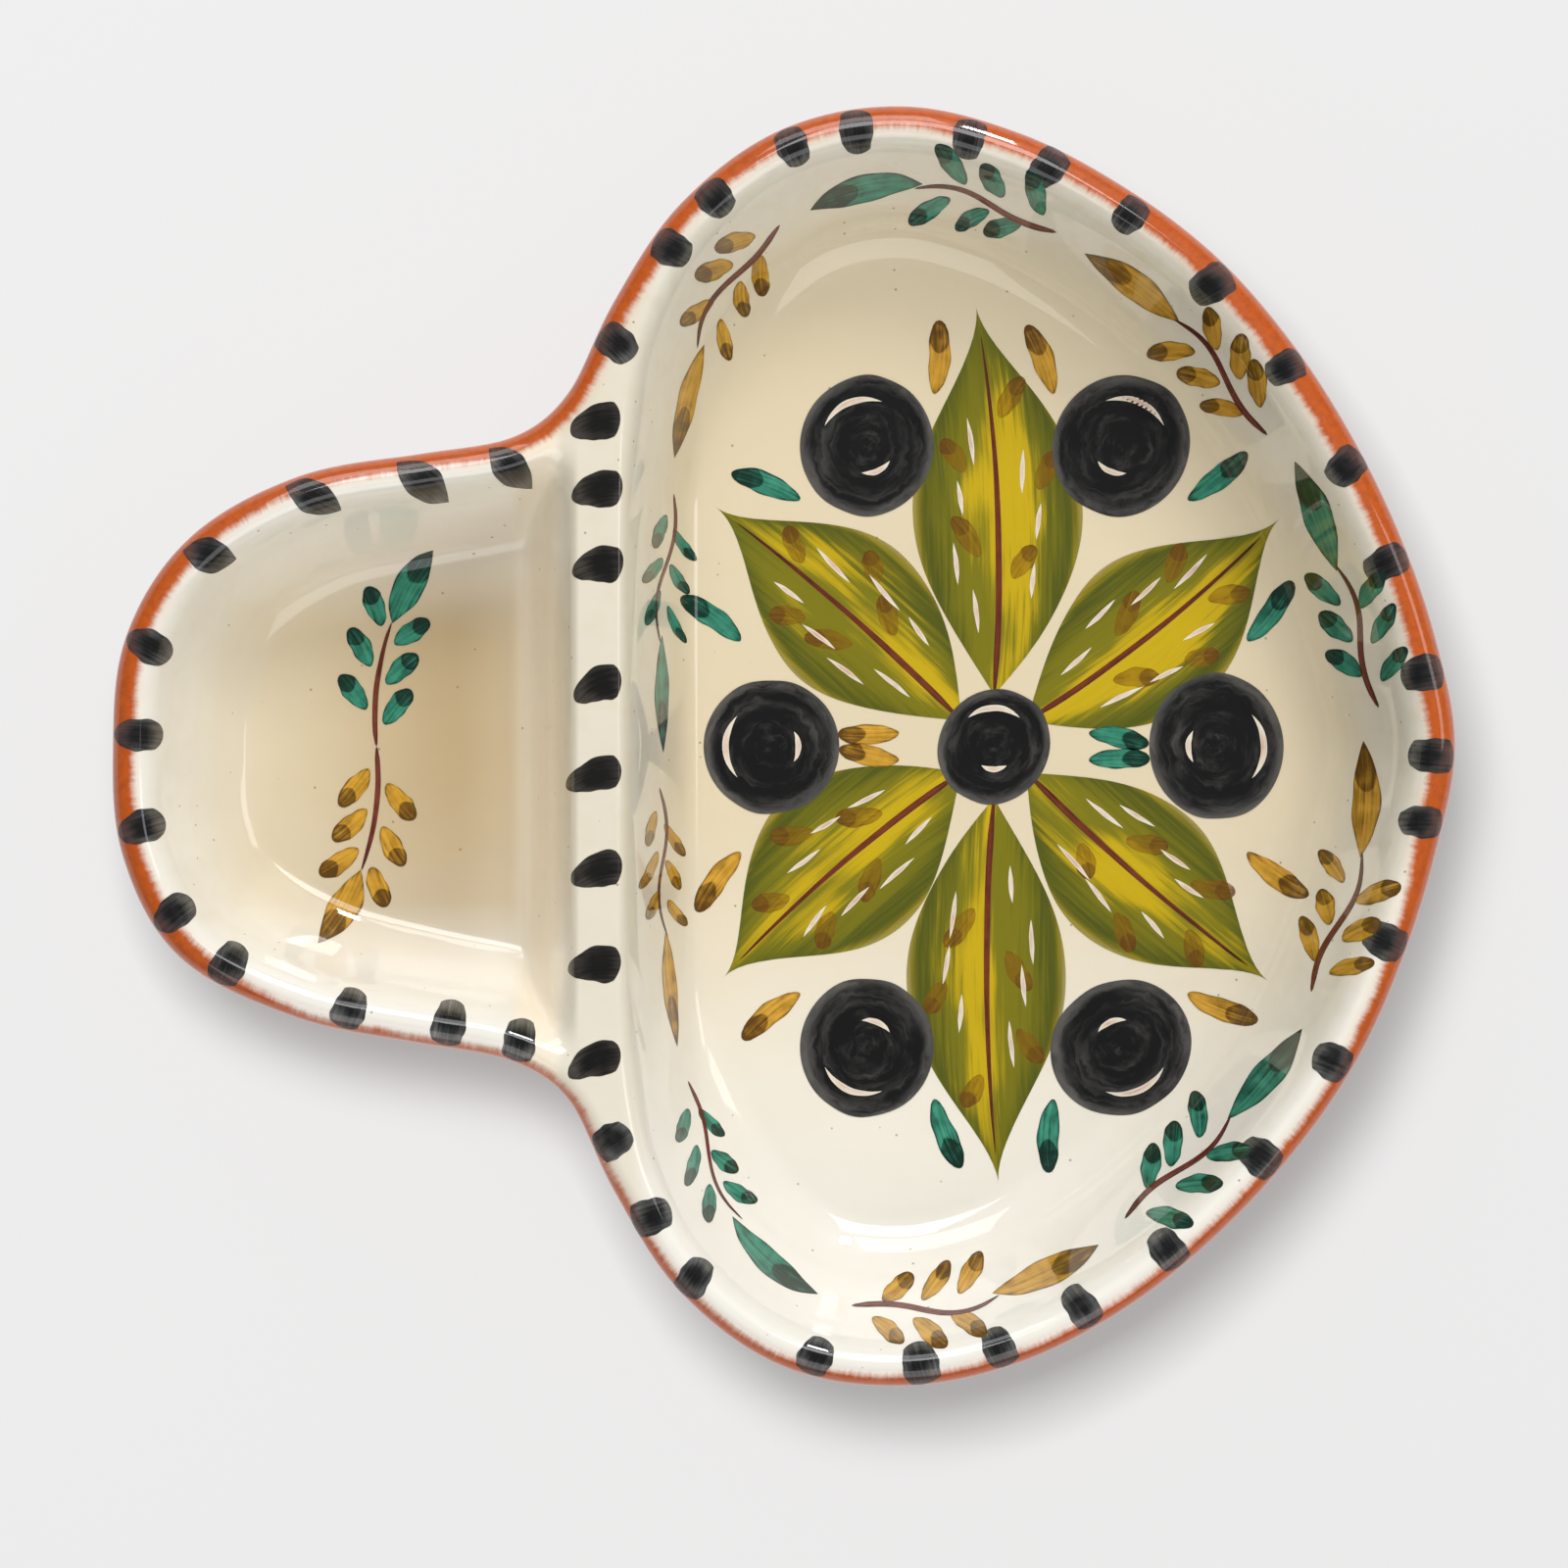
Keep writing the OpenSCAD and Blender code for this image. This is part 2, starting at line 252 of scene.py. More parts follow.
def make_piece(name, slot, finish, points, faces, normals, **marks):
    """A piece of the object from points in millimetres, faces as arrays of corner numbers and
    normals at the points. Marks are numbers or vectors that its finish reads at the points."""
    mesh = bpy.data.meshes.new(name)
    points, normals = points.reshape(-1, 3), normals.reshape(-1, 3)
    corners = np.concatenate([f.ravel() for f in faces])
    sizes = np.concatenate([np.full(len(f), f.shape[1]) for f in faces])
    mesh.vertices.add(len(points))
    mesh.vertices.foreach_set("co", (points * MM).ravel())
    mesh.loops.add(len(corners))
    mesh.loops.foreach_set("vertex_index", corners)
    mesh.polygons.add(len(sizes))
    mesh.polygons.foreach_set("loop_start", np.cumsum(sizes) - sizes)
    mesh.update(calc_edges=True)
    mesh.shade_smooth()
    mesh.normals_split_custom_set_from_vertices(normals)
    for mark, values in marks.items():
        vector = values.size == points.size
        kind, field = ("FLOAT_VECTOR", "vector") if vector else ("FLOAT", "value")
        mesh.attributes.new(mark, kind, "POINT").data.foreach_set(field, values.ravel())
    mesh.materials.append(finish)
    piece = bpy.data.objects.new(name, mesh)
    bpy.context.scene.collection.objects.link(piece)
    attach(piece, "root")
    return piece


def closed_ring(n, m):
    """Faces of a closed skin through n columns of m points that turn about a bowl's heart, each
    from near the heart below to near it above. The two hearts are the last points."""
    here = (np.arange(n) * m)[:, None] + np.arange(m)
    after = np.roll(here, -1, axis=0)
    sides = np.stack([here[:, :-1], after[:, :-1], after[:, 1:], here[:, 1:]], -1)
    below = np.stack([np.full(n, n * m), after[:, 0], here[:, 0]], -1)
    above = np.stack([np.full(n, n * m + 1), here[:, -1], after[:, -1]], -1)
    return [sides.reshape(-1, 4), below, above]


def shell_piece(name, slot, finish, rows, below, above):
    """A closed skin from rows of (points, normals, gaps) and the same for the two hearts. Its
    finish reads how far each point lies inside the edge, and the nearest point of the edge."""
    points, normals, gaps = (np.concatenate(part, 1) for part in zip(*rows))
    ends = [np.stack(part) for part in zip(below, above)]
    places = np.concatenate([points.reshape(-1, 3), ends[0]])
    gap, inward = edge_foot(places[:, :2])
    nearest = places[:, :2] - gap[:, None] * inward
    return make_piece(
        name, slot, finish, places, closed_ring(*gaps.shape),
        np.concatenate([normals.reshape(-1, 3), ends[1]]),
        edge_gap=np.concatenate([gaps.ravel(), ends[2]]),
        edge_place=np.concatenate([nearest, 0 * nearest[:, :1]], 1),
    )


def at_heart(height, main):
    """Point, normal and gap of a height function at a bowl's heart."""
    heart = MAIN_HEART if main else PIT_HEART
    return tuple(part[0, 0] for part in stand(height, heart[None, None]))


def outward(found):
    """(points, normals, gaps) with the rows in the other order."""
    return tuple(part[:, ::-1] for part in found)


UNDER_ROWS, UNDER_FLOOR_ROWS = 40, 6
CLAY_ROWS, CLAY_FLOOR_ROWS = 34, 5
BARE_SHARES = np.array([0, 0.02, 0.07, 0.15, 0.26, 0.4, 0.56, 0.77, 1.0])
CLIMB_END, EDGE_LEAN, JOINT_NUDGE = 0.98, 0.3, 0.05


def clay_shell(name, main, finish):
    """One bowl's clay: under it from the heart out, round the bare edge or up the joint, and
    back to the heart under the slip. Gaps count as negative on the underside, which its
    finish reads. There the slopes are taken a nudge towards the bowl's own side of the
    joint, and the first row on top leans a little to the normals below it."""
    side = 1 if main else -1
    under_points = inward_rows(brim(main, 0), main, True, UNDER_ROWS, UNDER_FLOOR_ROWS)[:, 1:]
    under_places, _, under_gaps = stand(under_height, under_points)
    beside = under_points + np.array([side * JOINT_NUDGE, 0.0])
    under_normals = -stand(under_height, beside)[1]
    under = (under_places, under_normals, -under_gaps)
    bare_points = np.stack([brim(main, gap) for gap in BARE_W * BARE_SHARES], 1)
    points, normals, gaps = stand(top_height, bare_points)
    joint = np.arange(len(bare_points)) >= len(bare_points) - JOINT_COLUMNS
    climb = np.linspace(0, CLIMB_END, len(BARE_SHARES))
    low = under_height(JOINT_X, gaps[joint][:, :1])
    high = clay_height(JOINT_X, gaps[joint][:, :1])
    points[joint, :, 2] = blend(low, high, climb)
    normals[:, 0] = blend(normals[:, 0], under_normals[:, 0], EDGE_LEAN)
    top_points = inward_rows(brim(main, BARE_W), main, False, CLAY_ROWS, CLAY_FLOOR_ROWS)
    rows = [outward(under), (points, normals, gaps), stand(clay_height, top_points)]
    point, normal, gap = at_heart(under_height, main)
    above = at_heart(clay_height, main)
    return shell_piece(name, "terracotta", finish, rows, (point, -normal, -gap), above)


class Amount:
    """A number that changes over a surface. It wraps an output socket, and sums, products
    and so on of it add Math nodes to the same finish."""

    def __init__(self, finish, socket):
        self.finish, self.socket = finish, socket

    def _with(self, operation, *values):
        return self.finish.node("ShaderNodeMath", {"operation": operation}, dict(enumerate(values)))

    def __add__(self, other):
        return self._with("ADD", self, other)

    def __sub__(self, other):
        return self._with("SUBTRACT", self, other)

    def __mul__(self, other):
        return self._with("MULTIPLY", self, other)

    def __truediv__(self, other):
        return self._with("DIVIDE", self, other)

    def __pow__(self, other):
        return self._with("POWER", self, other)

    def __rsub__(self, other):
        return self._with("SUBTRACT", other, self)

    __radd__ = __add__

    def size(self):
        return self._with("ABSOLUTE", self)

    def most(self, other):
        return self._with("MAXIMUM", self, other)

    def rise(self, low, high):
        """0 below low and 1 above high, with a smooth step between."""
        return self.finish.node(
            "ShaderNodeMapRange",
            {"interpolation_type": "SMOOTHSTEP"},
            {0: self, 1: low, 2: high, 3: 0.0, 4: 1.0},
        )


GLASS_IOR, COAT_ROUGHNESS, UNDER_ROUGHNESS = 1.5, 0.03, 0.4
WAVE_SCALE, WAVE_DEPTH = 0.09, 0.00035


class Finish:
    """A material. node() adds any node: its type, its settings, which are set first, and the
    values or links of its sockets by name or number. It returns one output as an Amount."""

    def __init__(self, name):
        self.material = bpy.data.materials.new(name)
        self.material.use_nodes = True
        self.tree = self.material.node_tree
        self.tree.nodes.clear()

    def node(self, kind, settings=(), sockets=(), out=0):
        new = self.tree.nodes.new(kind)
        for setting, value in dict(settings).items():
            setattr(new, setting, value)
        for socket, value in dict(sockets).items():
            if isinstance(value, Amount):
                self.tree.links.new(value.socket, new.inputs[socket])
            else:
                new.inputs[socket].default_value = value
        return Amount(self, new.outputs[out]) if len(new.outputs) else new

    def place(self):
        """The point on the object, in millimetres."""
        point = self.node("ShaderNodeTexCoord", out="Object")
        settings = {"operation": "SCALE"}
        return self.node("ShaderNodeVectorMath", settings, {0: point, "Scale": 1 / MM})

    def parts(self, vector):
        """The three numbers of a vector."""
        split = self.node("ShaderNodeSeparateXYZ", sockets={0: vector}).socket.node
        return [Amount(self, output) for output in split.outputs]

    def vector(self, x, y, z):
        return self.node("ShaderNodeCombineXYZ", sockets={0: x, 1: y, 2: z})

    def mark(self, name, out="Fac"):
        return self.node("ShaderNodeAttribute", {"attribute_name": name}, out=out)

    def noise(self, vector, scale, detail=3.0, rough=0.5):
        sockets = {"Vector": vector, "Scale": scale, "Detail": detail, "Roughness": rough}
        return self.node("ShaderNodeTexNoise", sockets=sockets)

    def mix(self, share, a, b):
        """Colour a at share 0 and colour b at share 1."""
        settings = {"data_type": "RGBA"}
        return self.node("ShaderNodeMix", settings, {0: share, 6: a, 7: b}, out=2)

    def waves(self):
        """The slow waves of a glaze that ran a little before it set."""
        return self.noise(self.place(), WAVE_SCALE, 2.0)

    def glaze(self, base, sheen, waves, alpha=1.0):
        """The finished surface: a smooth clear coat over a base colour, with waves as bump and
        a soft sheen under the coat."""
        return self.surface(base, UNDER_ROUGHNESS, sheen, waves, WAVE_DEPTH, coat=1.0, alpha=alpha)

    def surface(self, base, roughness, sheen, relief, depth, coat, alpha=1.0):
        """A surface with relief as bump of a depth in metres, and a share of clear coat."""
        bump = self.node(
            "ShaderNodeBump", sockets={"Strength": 1.0, "Distance": depth, "Height": relief}
        )
        shader = self.node("ShaderNodeBsdfPrincipled", sockets={
            "Base Color": base, "Roughness": roughness, "IOR": GLASS_IOR, "Normal": bump,
            "Coat Weight": coat, "Coat Roughness": COAT_ROUGHNESS, "Coat IOR": GLASS_IOR,
            "Alpha": alpha, "Specular IOR Level": sheen,
        })
        self.node("ShaderNodeOutputMaterial", sockets={"Surface": shader})
        return self.material


def colour(code):
    """A colour written as six hexadecimal digits, made linear."""
    parts = [int(code[i : i + 2], 16) / 255 for i in (0, 2, 4)]
    linear = [p / 12.92 if p <= 0.04045 else ((p + 0.055) / 1.055) ** 2.4 for p in parts]
    return (*linear, 1.0)


BARE_BAND = 2.85
SPECK_CELLS = 0.4
SLIP_SHEEN = 0.25


def glazed_ground(name):
    """Clear glaze over terracotta and white slip. The slip was wiped off the edge with a
    sponge, which left a band of bare clay, narrow along the front and wide at the pit's far
    end. Its border wanders and shows the sponge's marks. Painted shade makes the slip darker
    and warmer low in the wells and on the pit's floor, and darker on the ridge's top; painted
    light makes it whiter on the front walls, the pit's back wall and far end, and the pit
    side of the ridge. Three cells in ten hold a brown speck. The bounds of rise() are
    millimetres on the dish, or values of a noise."""
    finish = Finish(name)
    place = finish.place()
    x, y, z = finish.parts(place)
    gap = finish.mark("edge_gap")
    broad = finish.noise(place, 0.05, 2.0) - 0.5
    cloud = finish.noise(place, 0.3) - 0.5
    grain = finish.noise(place, 2.4, 4.0, 0.6) - 0.5
    front_edge = 1 - (y - x * 0.12).rise(-40.0, -20.0)
    end_edge = 1 - x.rise(-95.0, -70.0)
    band = BARE_BAND + x * 0.010 + end_edge * 1.1 - front_edge * 1.65 + broad * 1.6
    sponge = finish.noise(finish.mark("edge_place", "Vector"), 1.5, 3.0, 0.6) - 0.5
    cover = (gap - band + cloud * 0.8 + grain * 0.5 + sponge * 1.1).rise(-0.45, 1.05)
    fired = finish.noise(place, 0.9, 5.0, 0.65).rise(0.3, 0.75)
    grit = finish.noise(place, 4.0, 3.0).rise(0.62, 0.8)
    outside = (0 - gap).rise(0.0, 5.0)
    clay = finish.mix(fired, colour("c6580a"), colour("b04c0a"))
    clay = finish.mix(grit, clay, colour("7e3a16"))
    clay = finish.mix(outside, clay, colour("7a3c1e"))
    in_pit = 1 - x.rise(-38.0, -33.0)
    thin = cloud.rise(-0.1, 0.35)
    # Painted shade: the pit's floor is painted darker and warmer, less so towards the ridge.
    pit_floor_painted_shade = in_pit * x.rise(-88.0, -50.0) * (1 - z.rise(11.0, 26.0))
    pit_floor_painted_shade = pit_floor_painted_shade * (1 - x.rise(-52.0, -36.0) * 0.6)
    # Painted light: the front walls of both wells, the pit's back wall and its far end are painted
    # whiter.
    pit_front_light = in_pit * (1 - y.rise(-38.0, -18.0))
    pit_back_light = in_pit * y.rise(16.0, 34.0) * 0.7
    pit_end_light = (1 - x.rise(-98.0, -76.0)) * 0.6
    painted_light = (1 - y.rise(-78.0, -2.0)).most(pit_front_light).most(pit_back_light).most(pit_end_light)
    # Painted shade: the top of the ridge is painted darker.
    ridge = x.rise(-42.0, -36.0) * (1 - x.rise(-24.0, -18.0)) * z.rise(29.0, 34.0)
    # Painted light: the pit side of the ridge is painted lighter and warmer.
    ridge_side_painted_light = x.rise(-43.0, -38.0) * (1 - x.rise(-35.5, -33.5))
    blush = 1 - (gap - band).rise(0.4, 2.2)
    cells = {"Vector": place, "Scale": SPECK_CELLS}
    reach = finish.node("ShaderNodeTexVoronoi", sockets=cells)
    drawn = finish.parts(finish.node("ShaderNodeTexVoronoi", sockets=cells, out="Color"))[0]
    speck = (1 - reach.rise(0.04, 0.11)) * drawn.rise(0.70, 0.72)
    # Painted shade: the slip is painted darker and warmer low in the wells, and lighter up the
    # walls and on the lips.
    white = finish.mix(z.rise(9.0, 26.0), colour("dfd0b0"), colour("eee8d9"))
    for share, tint in (
        (thin * 0.35, "e0d2b4"), (pit_floor_painted_shade * 0.9, "bca47b"), (painted_light * 0.85, "f6f3ea"),
        (ridge * 0.5, "ddd2b8"), (ridge_side_painted_light * 0.8, "fff2da"), (blush * 0.25, "dcb89e"),
        (speck * 0.65, "7a4a2c"),
    ):
        white = finish.mix(share, white, colour(tint))
    waves = finish.waves() + finish.noise(place, 0.8, 2.0) * 0.04
    return finish.glaze(finish.mix(cover, clay, white), SLIP_SHEEN, waves)


clay_glaze = glazed_ground("clay_under_clear_glaze")
main_clay = clay_shell("main_bowl_clay", main=True, finish=clay_glaze)
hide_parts("main_bowl")
pit_clay = clay_shell("pit_bowl_clay", main=False, finish=clay_glaze)
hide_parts("pit_bowl")


# THE FOOT RINGS. Coils of the same terracotta under both bowls, turned flat. Their faces were
# wiped clean of glaze before the firing, so they are dry and darker, with a gritty grain.
DRY_ROUGHNESS, DRY_SHEEN, GRIT_DEPTH = 0.85, 0.5, 0.0002


def dry_clay():
    """Unglazed terracotta: matt, with darker grit."""
    finish = Finish("dry_terracotta")
    place = finish.place()
    grit = finish.noise(place, 3.0, 4.0, 0.7)
    cloud = finish.noise(place, 0.15)
    clay = finish.mix(cloud.rise(0.3, 0.7), colour("b9602f"), colour("a44f27"))
    clay = finish.mix(grit.rise(0.58, 0.75), clay, colour("7c3a1f"))
    return finish.surface(clay, DRY_ROUGHNESS, DRY_SHEEN, grit, GRIT_DEPTH, coat=0.0)


dry_terracotta = dry_clay()
for foot in ("main_foot", "pit_foot"):
    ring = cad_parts[foot]
    ring.data.materials.clear()
    ring.data.materials.append(dry_terracotta)


# THE WHITE SLIP. One pour of liquid white clay over both wells and their lips. It thins towards
# the edge, where it was wiped off.
MAIN_SLIP_ROWS, PIT_SLIP_ROWS, SLIP_FLOOR_ROWS = 60, 52, 8


def slip_coat(name, main, finish):
    """One well's slip: its bottom on the clay from the heart out, and its top back in."""
    wall_rows = MAIN_SLIP_ROWS if main else PIT_SLIP_ROWS
    spots = inward_rows(brim(main, BARE_W), main, False, wall_rows, SLIP_FLOOR_ROWS)
    points, normals, gaps = stand(clay_height, spots)
    rows = [outward((points, -normals, gaps)), stand(top_height, spots)]
    point, normal, gap = at_heart(clay_height, main)
    above = at_heart(top_height, main)
    return shell_piece(name, "white_slip", finish, rows, (point, -normal, gap), above)


slip_glaze = glazed_ground("white_slip_under_clear_glaze")
main_slip = slip_coat("main_slip_coat", main=True, finish=slip_glaze)
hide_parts("main_slip")
pit_slip = slip_coat("pit_slip_coat", main=False, finish=slip_glaze)
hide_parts("pit_slip")


# THE BLACK DABS. Single touches of a loaded brush, in from the edge and across the ridge, a few
# of them slanted. They lie over clay and slip alike, and are darkest where the brush touched
# twice.
chance = np.random.default_rng(7)


def disc_grid(n, m, square):
    """A square grid pressed into a disc: u sqrt(1 - v v / 2) by v sqrt(1 - u u / 2), or part
    of the way back to the square, which gives a rounded square."""
    u, v = np.meshgrid(np.linspace(-1, 1, n), np.linspace(-1, 1, m), indexing="ij")
    disc = np.stack([u * np.sqrt(1 - v**2 / 2), v * np.sqrt(1 - u**2 / 2)])
    return blend(disc, np.stack([u, v]), square)


def plumb(values, count):
    """Values for a number of strokes, shaped to spread over their grids."""
    return np.broadcast_to(np.asarray(values, float), count)[:, None, None]


def on_arc(start, heading, length, bend, t, aside=0.0):
    """Points and headings a share t along arcs that leave their starts at a heading and turn
    by a bend, both in degrees, and lie aside to the left of them."""
    first = np.radians(heading)
    turn = np.radians(np.where(np.abs(bend) < 0.1, 0.1, bend))
    now = first + turn * t
    x = length / turn * (np.sin(now) - np.sin(first)) - aside * np.sin(now)
    y = length / turn * (np.cos(first) - np.cos(now)) + aside * np.cos(now)
    return start + np.stack([x, y], -1), np.degrees(now)


SHAKE_MOST, SHAKE_MOST_SHARE = 0.22, 0.06
SEED_STEP = 3.7


def strokes(start, heading, length, bend, width, profile, n=17, m=7, square=0.0, wavy=0.0):
    """Brush strokes as grids of n by m points. Each follows an arc and may swing to both sides
    of it by a sine. A point lies aside by its share across times half the width, times the
    profile of the way along, times 1 + a shake of two sines. Returns the points; the way
    along, the way across and a number of the stroke's own, in millimetres; and the ways in
    shares."""
    start = np.atleast_2d(np.asarray(start, float))
    count = len(start)
    heading, length, bend, width, wavy = (
        plumb(values, count) for values in (heading, length, bend, width, wavy)
    )
    u, v = disc_grid(n, m, square)
    t = (u + 1) / 2
    sway = chance.uniform(0, 2 * np.pi, (2, count, 1, 1))
    shake = np.sin(8 * t + sway[0] + v) + 0.7 * np.sin(17 * t + sway[1] - 2 * v)
    unsteady = 1 + np.minimum(SHAKE_MOST / width, SHAKE_MOST_SHARE) * shake
    across = v * width / 2 * profile(t) * unsteady
    swing = wavy * np.sin(2 * np.pi * t)
    points, _ = on_arc(start[:, None, None], heading, length, bend, t, across + swing)
    none = 0 * across
    seed = plumb(np.arange(count) * SEED_STEP, count)
    brush = np.stack([length * t + none, across, seed + none], -1)
    share = np.stack([t + none, v + none, none], -1)
    return points, brush, share


FILM_SUNK = 0.04


def film(name, slot, finish, stroke, proud):
    """A closed film over the glaze for grids of points: its top lies proud of the finished
    surface, its bottom a little under it, and its normals are the dish's own, so that the
    gloss runs on over it."""
    points, brush, share = stroke
    s, n, m, _ = points.shape
    place, normal, _ = stand(top_height, points)
    both = np.stack([place + proud * normal, place - FILM_SUNK * normal], 1)
    number = np.arange(n * m).reshape(n, m)
    quads = np.stack([number[:-1, :-1], number[1:, :-1], number[1:, 1:], number[:-1, 1:]], -1)
    quads = quads.reshape(-1, 4)
    rim = np.concatenate([number[:, 0], number[-1, 1:], number[-2::-1, -1], number[0, -2:0:-1]])
    on = np.roll(rim, -1)
    sides = np.stack([rim + n * m, on + n * m, on, rim], -1)
    one = np.concatenate([quads, quads[:, ::-1] + n * m, sides])
    faces = (one[None] + (np.arange(s) * 2 * n * m)[:, None, None]).reshape(-1, 4)
    make_piece(
        name, slot, finish, both, [faces], np.stack([normal, -normal], 1),
        brush=np.stack([brush, brush], 1), share=np.stack([share, share], 1),
    )


def joined(*parts):
    """Several batches of strokes with the same grids, as one."""
    return tuple(np.concatenate(part) for part in zip(*parts))


PAINT_SHEEN = 0.1


def pigment(
    name, thin, thick, least, most,
    body=0.32, streak=1.3, swirl=0, pool=0.3, head=0.45, touch=0.92, near=0.70, far=0.78,
):
    """Brushed colour in the glaze, from a thin tint that covers least to a thick one that
    covers most. Its density starts at body. Streaks run along the stroke, or round it with a
    swirl, pool is added along the outline, and head in a round patch, from near to far about
    the share touch of the way, where the brush touched twice."""
    finish = Finish(name)
    along, across, seed = finish.parts(finish.mark("brush", "Vector"))
    way, side, _ = finish.parts(finish.mark("share", "Vector"))
    out = ((way * 2 - 1) ** 2 + side * side) ** 0.5
    spot = finish.noise(finish.vector(along * 0.45, across * 0.45, seed + 50), 1.0, 2.0) - 0.5
    if swirl:
        round_x, round_y = (way * 2 - 1) / (out + 0.05), side / (out + 0.05)
        path = finish.vector(round_x * 0.8 + seed, round_y * 0.8, (out + spot * 0.2) * swirl)
        spot = spot * 0.3
    else:
        path = finish.vector(along * 0.12, across * 2.6, seed)
    hair = finish.noise(path, 1.0, 3.0, 0.6) - 0.5
    rim = out.rise(0.8, 1.0)
    apart = (((way - touch) * 2) ** 2 + (side * 0.7) ** 2) ** 0.5
    twice = 1 - (apart + spot * 0.25).rise(near, far)
    dense = (hair * streak + spot * 0.8 + rim * pool + twice * head + body).rise(0.0, 1.0)
    paint = finish.mix(dense, colour(thin), colour(thick))
    return finish.glaze(paint, PAINT_SHEEN, finish.waves(), dense * (most - least) + least)


def blunt(t):
    """Nearly as wide all along, a little narrower at its inner end."""
    return 1 - 0.22 * t**2


def drop(t):
    """Round where the brush touched down, narrowing to the end."""
    return 1.08 - 0.6 * t**1.4


def swell(t):
    """Narrow where the brush touched down, and round at the end."""
    return 0.72 + 0.36 * np.sqrt(t)


def leaf(t):
    """Pointed at both ends."""
    return 2 * np.sqrt(np.clip(t * (1 - t), 0, 1))


DAB_FILM = 0.05
MAIN_DABS = np.array([
    113, 104, 98, 90, 84, 74, 66, 58, 48, 38, 28, 18, 7,
    359, 353, 341, 329, 318, 306, 297, 289, 282, 272, 260, 253, 246,
])
SLANTED_DABS = np.array([133, 142, 151, 161])
POINTED_DABS = np.array([170, 179, 188, 197])
PIT_DABS = np.array([204, 214, 223, 231])
RIDGE_DABS = np.array([49.4, 39.1, 27.4, 9.7, -4.3, -19.0, -33.8, -47.6])
RIDGE_DAB_START = 3.7, 0.4


def edge_dabs(angles, gap, length, width, tilt, profile, square):
    """Dabs that start a gap inside the edge and run in, a tilt away from straight in."""
    inward = edge_inward(angles)
    start = edge_point(angles) + gap[:, None] * inward
    heading = np.degrees(np.arctan2(inward[:, 1], inward[:, 0])) + tilt
    bend = chance.uniform(-12, 12, len(angles))
    return strokes(start, heading, length, bend, width, profile, m=13, square=square)


plain_dabs = np.concatenate([MAIN_DABS, PIT_DABS])
count = len(plain_dabs)
rim_dabs = edge_dabs(
    plain_dabs, gap=chance.uniform(0.2, 0.5, count), length=chance.uniform(5.8, 7.0, count),
    width=chance.uniform(5.0, 6.0, count), tilt=chance.uniform(-12, 12, count),
    profile=blunt, square=0.4,
)
slanted_dabs = edge_dabs(
    SLANTED_DABS, gap=np.array([0.8, 0.9, 0.8, 0.8]), length=np.array([8.8, 9.8, 9.2, 8.2]),
    width=np.array([5.2, 5.6, 5.2, 5.4]), tilt=np.array([38, 48, 50, 34]),
    profile=leaf, square=0.0,
)
count = len(POINTED_DABS)
pointed_dabs = edge_dabs(
    POINTED_DABS, gap=np.full(count, 0.3), length=chance.uniform(6.8, 7.6, count),
    width=chance.uniform(4.8, 5.3, count), tilt=chance.uniform(-10, 10, count),
    profile=swell, square=0.15,
)
count = len(RIDGE_DABS)
ridge_start_x = RIDGE_X + RIDGE_DAB_START[0] + chance.uniform(-0.3, 0.3, count)
ridge_dabs = strokes(
    np.stack([ridge_start_x, RIDGE_DABS + RIDGE_DAB_START[1]], -1),
    heading=178 + chance.uniform(-6, 6, count), length=chance.uniform(7.8, 9.0, count),
    bend=chance.uniform(28, 52, count), width=chance.uniform(5.6, 6.4, count),
    profile=drop, m=13, square=0.25,
)
black = pigment(
    "black_dab_paint", "4c5052", "080809", 0.55, 0.98,
    body=0.3, streak=0.8, pool=0.1, head=0.65, touch=0.55, near=0.1, far=1.0,
)
black_ridge = pigment(
    "black_ridge_paint", "3c3630", "060504", 0.78, 0.99,
    body=0.38, streak=0.9, pool=0.0, head=0.6, touch=0.4, near=0.15, far=1.0,
)
edge_strokes = joined(rim_dabs, pointed_dabs, slanted_dabs)
film("black_rim_dabs", "black_paint", black, edge_strokes, DAB_FILM)
film("black_ridge_dabs", "black_paint", black_ridge, ridge_dabs, DAB_FILM)


# THE SPRIG BORDER. A ring of sprigs runs round the large well's wall, teal and ochre in turn.
# Each is a thin brown stem with small brush touches on both sides, and a long leaf laid down in
# one pull of the brush. They are painted narrower on the steep wall of the ridge.
BORDER_GAP, BORDER_IN = 11.8, 4.6
BORDER_RAYS, BORDER_REACHES = np.arange(0, 360, 0.75), np.linspace(20, 100, 161)
CORNER_BLEND, CORNER_BACK = 12.0, 1.5
RIDGE_NARROW, RIDGE_NARROW_RUN = 0.5, 14.0
SPRIGS, SPRIG_START, NEXT_SPRIG = 10, 6.0, 5.5
STEM_L, STEM_W, LEAF_STEP, LEAF_W = 23.0, 0.85, 22.0, 4.0
TOUCH_STEPS = np.array([3.5, 5.0, 9.5, 11.0, 15.5, 17.0])
TOUCH_FILM, STEM_FILM = 0.06, 0.085


